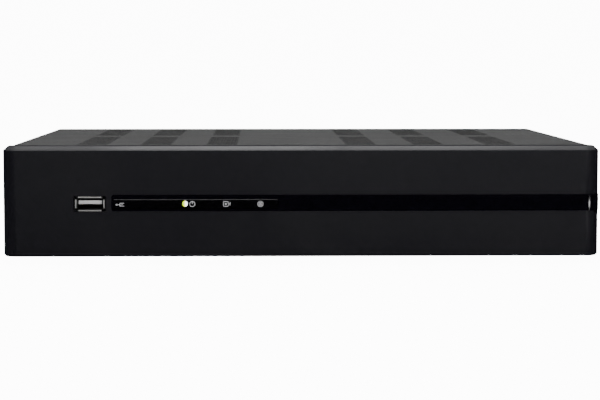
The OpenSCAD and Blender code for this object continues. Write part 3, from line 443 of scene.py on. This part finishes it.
# %% Fill the sheet round the patches and fold it
def perforated_lid():
    mesh = bmesh.new()
    top = lid_high[2]
    edge = lid_high[0] - FOLD
    outline(mesh, (-edge, lid_low[1]), (edge, lid_high[1]), top)
    for x in PATCH_X:
        for y in PATCH_Y:
            outline(mesh, (x - PATCH_W / 2, y - PATCH_L / 2), (x + PATCH_W / 2, y + PATCH_L / 2), top)
    bmesh.ops.triangle_fill(mesh, edges=mesh.edges, use_beauty=True)
    for x in PATCH_X:
        for y in PATCH_Y:
            start = len(mesh.verts)
            mesh.from_mesh(patch_data)
            mesh.verts.ensure_lookup_table()
            bmesh.ops.translate(mesh, verts=mesh.verts[start:], vec=(x, y, top))
    bmesh.ops.remove_doubles(mesh, verts=mesh.verts, dist=MERGE)
    for side in (-1, 1):
        fold = [e for e in mesh.edges if all(abs(v.co.x - side * edge) < MERGE for v in e.verts)]
        turned = bmesh.ops.spin(mesh, geom=fold + list({v for e in fold for v in e.verts}),
                                cent=(side * edge, 0, top - FOLD), axis=(0, side, 0),
                                angle=math.pi / 2, steps=6, use_merge=False, use_duplicate=False)
        last = [g for g in turned["geom_last"] if isinstance(g, bmesh.types.BMEdge)]
        down = bmesh.ops.extrude_edge_only(mesh, edges=last)
        verts = [g for g in down["geom"] if isinstance(g, bmesh.types.BMVert)]
        for vert in verts:
            vert.co.z = lid_low[2]
    return mesh


lid = finish_piece("perforated_lid", perforated_lid(), POWDER)
if lid.data.polygons[0].normal.z < 0:
    lid.data.flip_normals()
thickness = lid.modifiers.new("sheet", "SOLIDIFY")
thickness.thickness = SHEET
thickness.offset = -1
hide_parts("top_cover")
bpy.data.meshes.remove(patch_data)

# %% [markdown]
# ## Printed pictograms
# The window carries small printed pictograms: a data plug, a power ring, a camera and a network
# globe. Each is a thin sheet of ink. A ring is a short line spun round a centre, and the rest are
# flat faces.
# %% Ink strokes
window_low, window_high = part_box("indicator_window")
INK = 0.03 * MM
ink_y = window_low[1] + INK
sign_z = (window_low[2] + window_high[2]) / 2


def ring(mesh, at, outer, inner, steps=32):
    """A flat ring round the sign's centre. Sizes on a sign are in millimetres."""
    x, z = at
    near = mesh.verts.new((x + inner * MM, ink_y, z))
    far = mesh.verts.new((x + outer * MM, ink_y, z))
    line = mesh.edges.new((near, far))
    bmesh.ops.spin(mesh, geom=[near, far, line], cent=(x, ink_y, z), axis=(0, -1, 0), angle=math.tau,
                   steps=steps, use_merge=True, use_duplicate=False)


def shape(mesh, at, *points):
    """A flat face with its corners in millimetres from the sign's centre."""
    x, z = at
    mesh.faces.new([mesh.verts.new((x + across * MM, ink_y, z + up * MM)) for across, up in points])


def bar(mesh, at, left, low, right, high):
    shape(mesh, at, (left, low), (right, low), (right, high), (left, high))


def raise_ink(mesh):
    """Thickens the strokes towards the viewer."""
    bmesh.ops.recalc_face_normals(mesh, faces=mesh.faces)
    made = bmesh.ops.extrude_face_region(mesh, geom=mesh.faces[:], use_keep_orig=True)
    bmesh.ops.translate(mesh, vec=(0, -INK, 0),
                        verts=[g for g in made["geom"] if isinstance(g, bmesh.types.BMVert)])


def print_ink(name, mesh, finish=PRINT):
    raise_ink(mesh)
    return finish_piece(name, mesh, finish)


# %% Draw the pictograms
DATA_X, POWER_X, CAMERA_X, GLOBE_X = (x * MM for x in (-90.9, -54.9, -37.5, -20.8))
LIT_X, LIT_Z, LIT_R = -58.6 * MM, sign_z + 0.15 * MM, 1.4 * MM
DOT = 0.02


def data_plug(mesh, at):
    bar(mesh, at, -1.6, -0.14, -0.3, 0.14)
    ring(mesh, (at[0] - 1.75 * MM, at[1]), 0.5, DOT, steps=12)
    bar(mesh, at, -0.3, -0.85, 0, 0.85)
    for prong in (-0.7, 0.7):
        bar(mesh, at, 0, prong - 0.15, 2, prong + 0.15)
    bar(mesh, at, 0.5, -0.14, 1.3, 0.14)


def power_ring(mesh, at):
    ring(mesh, at, 1.45, 1.13)
    bar(mesh, at, -0.15, 0, 0.15, 1.13)


def outline_sign(mesh, at, half_w, half_h, line):
    for side in (-1, 1):
        bar(mesh, at, -half_w, side * half_h - line / 2, half_w, side * half_h + line / 2)
        bar(mesh, at, side * half_w - line / 2, line / 2 - half_h, side * half_w + line / 2,
            half_h - line / 2)


def camera_sign(mesh, at):
    body = (at[0] - 0.6 * MM, at[1])
    outline_sign(mesh, body, 1.2, 1.15, 0.3)
    ring(mesh, body, 0.5, DOT, steps=16)
    shape(mesh, at, (1.15, -0.35), (1.65, -1), (1.65, 1), (1.15, 0.35))


def globe_sign(mesh, at):
    radius = 1.5
    for outer, inner in ((1, 0.84), (0.62, 0.46), (0.26, 0.06)):
        ring(mesh, at, radius * outer, radius * inner)
    for turn in range(4):
        angle = turn * math.pi / 2 + math.pi / 4
        for near, far in ((0.26, 0.46), (0.62, 0.84)):
            out = radius * (near + far) / 2
            x, z = out * math.cos(angle), out * math.sin(angle)
            bar(mesh, at, x - 0.12, z - 0.12, x + 0.12, z + 0.12)


FRONT_SIGNS = {
    "data": (data_plug, DATA_X, sign_z - 0.3 * MM), "power": (power_ring, POWER_X, sign_z),
    "camera": (camera_sign, CAMERA_X, sign_z), "network": (globe_sign, GLOBE_X, sign_z),
}
for name, (draw, *at) in FRONT_SIGNS.items():
    strokes = bmesh.new()
    draw(strokes, at)
    print_ink("sign_" + name, strokes)

# %% [markdown]
# ## Print on the rear panel
# The back of the real object is printed too: a number by every video input, a frame round the group,
# and a small sign over each port. The signs are drawn on the front's plane, turned to face
# backwards and moved onto the panel. The numbers start as text, because Blender's own font has
# cleaner curves than flat blocks would, and the text is made a mesh before it is placed.
# %% Signs of the ports
ports = {mount["name"]: mount["pos_m"] for mount in frame["record"]["mounts"]}


SCREEN = 2.2, 1.4, 0.35


def monitor_sign(mesh, at):
    outline_sign(mesh, (at[0], at[1] + 0.3 * MM), *SCREEN)
    bar(mesh, at, -1.1, -2.1, 1.1, -1.75)
    bar(mesh, at, -0.2, -1.75, 0.2, -1.28)


def screen_sign(mesh, at):
    outline_sign(mesh, at, *SCREEN)
    shape(mesh, at, (-0.6, -0.8), (0.9, 0), (-0.6, 0.8))


def branch_sign(mesh, at):
    for x, z in ((0, 1.3), (-1.6, -1.3), (1.6, -1.3)):
        bar(mesh, at, x - 0.65, z - 0.6, x + 0.65, z + 0.6)
    bar(mesh, at, -1.75, -0.15, 1.75, 0.15)
    bar(mesh, at, -0.15, 0.15, 0.15, 0.7)
    for x in (-1.6, 1.6):
        bar(mesh, at, x - 0.15, -0.7, x + 0.15, -0.15)


def supply_sign(mesh, at):
    bar(mesh, at, -1.8, 0.35, 1.8, 0.7)
    for x in (-1.3, 0, 1.3):
        bar(mesh, at, x - 0.5, -0.6, x + 0.5, -0.25)


def earth_sign(mesh, at):
    bar(mesh, at, -0.15, 0.35, 0.15, 1.7)
    for drop, half in ((0, 1.6), (0.75, 1), (1.5, 0.45)):
        bar(mesh, at, -half, -drop, half, 0.35 - drop)


def inward_arrow(mesh, at):
    shape(mesh, at, (-1.6, 0), (0, -1.2), (0, 1.2))
    bar(mesh, at, 0, -0.3, 1.6, 0.3)


def outward_arrow(mesh, at):
    shape(mesh, at, (1.6, 0), (0, 1.2), (0, -1.2))
    bar(mesh, at, -1.6, -0.3, 0, 0.3)


# %% Print the signs and the numbers
def print_rear(name, mesh, x, z):
    """Turns a sheet of ink drawn at the origin to face backwards, and lays it on the panel."""
    raise_ink(mesh)
    bmesh.ops.rotate(mesh, verts=mesh.verts, cent=(0, ink_y, 0), matrix=Matrix.Rotation(math.pi, 3, "Z"))
    bmesh.ops.translate(mesh, verts=mesh.verts, vec=(x, panel_high[1] - ink_y, z))
    return finish_piece(name, mesh, PRINT)


def number_strokes(text, height):
    """Gives the mesh of a number, centred on the origin in the plane of the ink."""
    letters = bpy.data.curves.new("number", "FONT")
    letters.body, letters.size, letters.resolution_u = text, height, 3
    letters.align_x, letters.align_y = "CENTER", "CENTER"
    shape = bpy.data.objects.new("number", letters)
    data = bpy.data.meshes.new_from_object(shape)
    strokes = bmesh.new()
    strokes.from_mesh(data)
    bpy.data.objects.remove(shape)
    bpy.data.meshes.remove(data)
    bpy.data.curves.remove(letters)
    bmesh.ops.rotate(strokes, verts=strokes.verts, matrix=Matrix.Rotation(math.pi / 2, 3, "X"))
    bmesh.ops.translate(strokes, verts=strokes.verts, vec=(0, ink_y, 0))
    return strokes


SIGNS_OVER_PORTS = {
    "monitor": (monitor_sign, "monitor_port", 11), "screen": (screen_sign, "digital_video_port", 9),
    "rear_data": (data_plug, "rear_usb", 12), "branch": (branch_sign, "network_port", 12),
    "supply": (supply_sign, "power_inlet", 9), "audio_in": (inward_arrow, "audio_in", 7),
    "audio_out": (outward_arrow, "audio_out", 7),
}
SIGNS_BESIDE = {"switch": (power_ring, "switch_housing"), "earth": (earth_sign, "ground_screw")}
BESIDE = 4 * MM
rear_signs = [(name, draw, ports[port][0], ports[port][2] + rise * MM)
              for name, (draw, port, rise) in SIGNS_OVER_PORTS.items()]
for name, (draw, node) in SIGNS_BESIDE.items():
    low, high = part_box(node)
    rear_signs.append((name, draw, low[0] - BESIDE, (low[2] + high[2]) / 2))
for name, draw, x, z in rear_signs:
    strokes = bmesh.new()
    draw(strokes, (0, 0))
    print_rear("sign_" + name, strokes, x, z)

# %% Number the video inputs and frame them
NUMBER_H, NUMBER_RISE, FRAME_LINE = 4 * MM, 8.6 * MM, 0.35
FRAME_SIDE, FRAME_BELOW, FRAME_ABOVE = 8 * MM, 7 * MM, 12 * MM
inputs = [ports["video_input_%d" % number] for number in range(1, 9)]
for number, (x, _, z) in enumerate(inputs, 1):
    print_rear("number_%d" % number, number_strokes(str(number), NUMBER_H), x, z + NUMBER_RISE)
left, right = min(p[0] for p in inputs) - FRAME_SIDE, max(p[0] for p in inputs) + FRAME_SIDE
low_z, high_z = min(p[2] for p in inputs) - FRAME_BELOW, max(p[2] for p in inputs) + FRAME_ABOVE
strokes = bmesh.new()
outline_sign(strokes, (0, 0), (right - left) / 2 / MM, (high_z - low_z) / 2 / MM, FRAME_LINE)
print_rear("input_frame", strokes, (left + right) / 2, (low_z + high_z) / 2)

# %% [markdown]
# ## The window
# The window is a smoked moulding with a narrow sloping edge that catches the light from above. A cube
# is stretched to its size, less the thickness of the ink, and its corners are rounded. Its front is
# inset and drawn forward, so that the slope is a ring of faces with a brighter finish of its own.
# %% Mould the window
SLOPE_W, SLOPE_BACK, CORNER = 0.32 * MM, 0.3 * MM, 0.5 * MM
window = bmesh.new()
add_block(window, (window_low[0], ink_y, window_low[2]), window_high)
deep = [e for e in window.edges if abs(e.verts[0].co.y - e.verts[1].co.y) > MERGE]
bmesh.ops.bevel(window, geom=deep, offset=CORNER, segments=4, profile=0.5, material=-1, affect="EDGES")
face = min(window.faces, key=lambda f: f.calc_center_median().y)
bmesh.ops.translate(window, verts=face.verts[:], vec=(0, SLOPE_BACK, 0))
slope = bmesh.ops.inset_region(window, faces=[face], thickness=SLOPE_W, use_even_offset=True)["faces"]
bmesh.ops.translate(window, verts=face.verts[:], vec=(0, -SLOPE_BACK, 0))
for part in slope:
    part.material_index = 1
window_piece = finish_piece("smoked_window", window, SMOKED)
window_piece.data.materials.append(RIM)
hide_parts("indicator_window")

# %% [markdown]
# ## The collar round the port
# A thin black collar behind the bezel closes the gap round the port's shell, through which one would
# otherwise see out through the case; it is a dark piece put there as painted shade.
# It starts as two flat loops of edges, one inside the other. Bridging them makes a ring of faces, and
# the ring is extruded.
# %% Make the collar
COLLAR_W, COLLAR_T, COLLAR_GAP, COLLAR_BACK = 1.8 * MM, 0.8 * MM, 0.05 * MM, 3.5 * MM
shell_low, shell_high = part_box("front_usb_shell")
collar_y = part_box("front_bezel")[0][1] + COLLAR_BACK
collar = bmesh.new()
for reach in (COLLAR_GAP, COLLAR_GAP + COLLAR_W):
    loop = [collar.verts.new((x, collar_y, z)) for x, z in (
        (shell_low[0] - reach, shell_low[2] - reach), (shell_high[0] + reach, shell_low[2] - reach),
        (shell_high[0] + reach, shell_high[2] + reach), (shell_low[0] - reach, shell_high[2] + reach))]
    for near, far in zip(loop, loop[1:] + loop[:1]):
        collar.edges.new((near, far))
bmesh.ops.bridge_loops(collar, edges=collar.edges[:])
drawn = bmesh.ops.extrude_face_region(collar, geom=collar.faces[:], use_keep_orig=True)
bmesh.ops.translate(collar, vec=(0, COLLAR_T, 0),
                    verts=[g for g in drawn["geom"] if isinstance(g, bmesh.types.BMVert)])
# Painted shade: a black piece that hides the see-through gap round the port.
finish_piece("port_collar", collar, MOULDED)

# %% [markdown]
# ## The lit indicator
# Behind the window one indicator is on. Its glow is an emission whose colour runs across the spot,
# yellow-green on the left and nearly white on the right, and the white on the right is a painted highlight.
# %% Light the indicator
def glow_finish():
    material = bpy.data.materials.new("indicator_glow")
    material.use_nodes = True
    nodes, links = material.node_tree.nodes, material.node_tree.links
    shader = nodes["Principled BSDF"]
    shader.inputs["Base Color"].default_value = (0.05, 0.08, 0.01, 1)
    shader.inputs["Roughness"].default_value = 0.3
    shader.inputs["Emission Strength"].default_value = 4.2
    place = nodes.new("ShaderNodeTexCoord")
    split = nodes.new("ShaderNodeSeparateXYZ")
    across = nodes.new("ShaderNodeMapRange")
    across.inputs["From Min"].default_value = LIT_X - LIT_R
    across.inputs["From Max"].default_value = LIT_X + LIT_R
    # The yellow-green stops are the indicator's own light, and the near-white stops on the right are a
    # painted highlight.
    ramp = nodes.new("ShaderNodeValToRGB")
    ramp.color_ramp.elements[0].color = (0.06, 0.14, 0, 1)
    ramp.color_ramp.elements[1].color = (0.9, 0.95, 0.95, 1)
    for stop, colour in ((0.2, (0.3, 0.46, 0, 1)), (0.46, (0.62, 0.68, 0, 1)), (0.6, (1, 1, 0.9, 1))):
        ramp.color_ramp.elements.new(stop).color = colour
    links.new(place.outputs["Object"], split.inputs[0])
    links.new(split.outputs["X"], across.inputs["Value"])
    links.new(across.outputs[0], ramp.inputs["Fac"])
    links.new(ramp.outputs["Color"], shader.inputs["Emission Color"])
    return material


spot = bmesh.new()
bmesh.ops.create_circle(spot, cap_ends=True, segments=24, radius=LIT_R,
                        matrix=Matrix.Translation((LIT_X, ink_y, LIT_Z))
                        @ Matrix.Rotation(math.pi / 2, 4, "X"))
print_ink("lit_indicator", spot, glow_finish())

# %% [markdown]
# ## Floor, backdrop and light
# A pale floor that runs far behind the object is all the set there is. It glows like a light table,
# so that it reads as white paper, but it throws little of that light onto the object. It is hidden
# from reflections, so that the polished strip stays black.
# %% Lay the floor
PAPER_SEEN, PAPER_SPILL = 12, 0.35
PAPER_SHADES = 0.93, 0.96


def stage_finish():
    material = bpy.data.materials.new("pale_floor")
    material.use_nodes = True
    nodes, links = material.node_tree.nodes, material.node_tree.links
    shader = nodes["Principled BSDF"]
    shader.inputs["Roughness"].default_value = 0.9
    shader.inputs["Emission Color"].default_value = (1, 1, 1, 1)
    path = nodes.new("ShaderNodeLightPath")
    glow = nodes.new("ShaderNodeMapRange")
    glow.inputs["To Min"].default_value = PAPER_SPILL
    glow.inputs["To Max"].default_value = PAPER_SEEN
    links.new(path.outputs["Is Camera Ray"], glow.inputs["Value"])
    links.new(glow.outputs[0], shader.inputs["Emission Strength"])
    noise = nodes.new("ShaderNodeTexNoise")
    noise.inputs["Scale"].default_value = 3
    ramp = nodes.new("ShaderNodeValToRGB")
    for stop, shade in zip(ramp.color_ramp.elements, PAPER_SHADES):
        stop.color = (shade, shade, shade, 1)
    links.new(noise.outputs["Fac"], ramp.inputs["Fac"])
    links.new(ramp.outputs["Color"], shader.inputs["Base Color"])
    return material


STAGE_FRONT, STAGE_BACK, STAGE_HALF, STAGE_SWEEP, STAGE_WALL = -4, 3, 9, 1.5, 5
STAGE_DROP = 0.1 * MM
floor_mesh = bmesh.new()
ends = [floor_mesh.verts.new((x, STAGE_FRONT, FLOOR - STAGE_DROP)) for x in (-STAGE_HALF, STAGE_HALF)]
line = floor_mesh.edges.new(ends)
flat = bmesh.ops.extrude_edge_only(floor_mesh, edges=[line])["geom"]
bmesh.ops.translate(floor_mesh, verts=[g for g in flat if isinstance(g, bmesh.types.BMVert)],
                    vec=(0, STAGE_BACK - STAGE_FRONT, 0))
bent = bmesh.ops.spin(floor_mesh, geom=[g for g in flat if not isinstance(g, bmesh.types.BMFace)],
                      cent=(0, STAGE_BACK, STAGE_SWEEP), axis=(1, 0, 0), angle=math.pi / 2, steps=12,
                      use_merge=False, use_duplicate=False)["geom_last"]
wall = bmesh.ops.extrude_edge_only(floor_mesh, edges=[g for g in bent if isinstance(g, bmesh.types.BMEdge)])
bmesh.ops.translate(floor_mesh, verts=[g for g in wall["geom"] if isinstance(g, bmesh.types.BMVert)],
                    vec=(0, 0, STAGE_WALL))
floor_data = bpy.data.meshes.new("floor")
floor_mesh.to_mesh(floor_data)
floor_mesh.free()
floor_data.materials.append(stage_finish())
floor_data.polygons.foreach_set("use_smooth", [True] * len(floor_data.polygons))
floor = bpy.data.objects.new("floor", floor_data)
floor.visible_glossy = False
bpy.context.collection.objects.link(floor)

# %% [markdown]
# A wide soft box hangs overhead, and a smaller one below it makes the bezel's top slope shine. Two
# more fill the front and the right side. A tiny one low on the right draws the short bright line on
# the strip's rounded end. Each row gives place, aim, width, height and watts.
# %% Hang the lights
def soft_box(name, place, aim, width, height, watts):
    light = bpy.data.objects.new(name, bpy.data.lights.new(name, "AREA"))
    light.data.shape = "RECTANGLE"
    light.data.size, light.data.size_y = width, height
    light.data.energy = watts
    light.location = place
    light.rotation_euler = (Vector(aim) - Vector(place)).to_track_quat("-Z", "Y").to_euler()
    bpy.context.collection.objects.link(light)
    return light


SOFT_BOXES = {
    "overhead": ((0, 0.6, 2.6), (0, 0.3, 0), 5, 5, 76),
    "edge_light": ((0, 0, 1.2), (0, -0.11, 0.05), 0.6, 0.5, 5.4),
    "front_fill": ((0.3, -2.4, 0.75), (0, -0.1, 0.03), 1.2, 0.5, 8),
    "right_fill": ((0.75, -0.7, 0.22), (0.1, -0.12, 0.03), 0.4, 0.2, 0.06),
    "end_glint": ((0.323, -0.361, 0.0063), (0.1447, -0.1196, 0.03), 0.06, 0.004, 0.013),
}
lamps = {name: soft_box(name, *values) for name, values in SOFT_BOXES.items()}
lamps["end_glint"].visible_camera = False

# %% [markdown]
# The sky is bright behind the recorder and dark before it. The lid is seen at a shallow angle, so it
# mirrors what is behind and turns pale, while the upright front mirrors the dark side. The sky also
# fades sideways. Three ramps on its direction are multiplied together.
# %% Set the sky
SKY_DEPTH, SKY_BRIGHT = (-0.6, 1), 2.2
SKY_HEIGHT = -0.02, 0.34
SKY_WIDTH, SKY_SHIFT, SKY_SIDES = 0.15, 0.02, 0.15

world = bpy.data.worlds.new("studio")
bpy.context.scene.world = world
world.use_nodes = True
sky = world.node_tree


def sky_ramp(source, start, end, low, high):
    ramp = sky.nodes.new("ShaderNodeMapRange")
    for socket, value in (("From Min", start), ("From Max", end), ("To Min", low), ("To Max", high)):
        ramp.inputs[socket].default_value = value
    sky.links.new(source, ramp.inputs["Value"])
    return ramp.outputs[0]


def sky_math(operation, first, second=None):
    node = sky.nodes.new("ShaderNodeMath")
    node.operation = operation
    sky.links.new(first, node.inputs[0])
    if isinstance(second, float):
        node.inputs[1].default_value = second
    elif second:
        sky.links.new(second, node.inputs[1])
    return node.outputs[0]


split = sky.nodes.new("ShaderNodeSeparateXYZ")
sky.links.new(sky.nodes.new("ShaderNodeTexCoord").outputs["Generated"], split.inputs[0])
depth = sky_ramp(split.outputs["Y"], *SKY_DEPTH, 0, SKY_BRIGHT)
height = sky_ramp(split.outputs["Z"], *SKY_HEIGHT, 0, 1)
sideways = sky_math("ABSOLUTE", sky_math("ADD", split.outputs["X"], SKY_SHIFT))
spread = sky_ramp(sideways, 0, SKY_WIDTH, 1, SKY_SIDES)
glow = sky_math("MULTIPLY", sky_math("MULTIPLY", depth, height), spread)
sky.links.new(glow, sky.nodes["Background"].inputs["Strength"])
print("lights:", list(lamps))
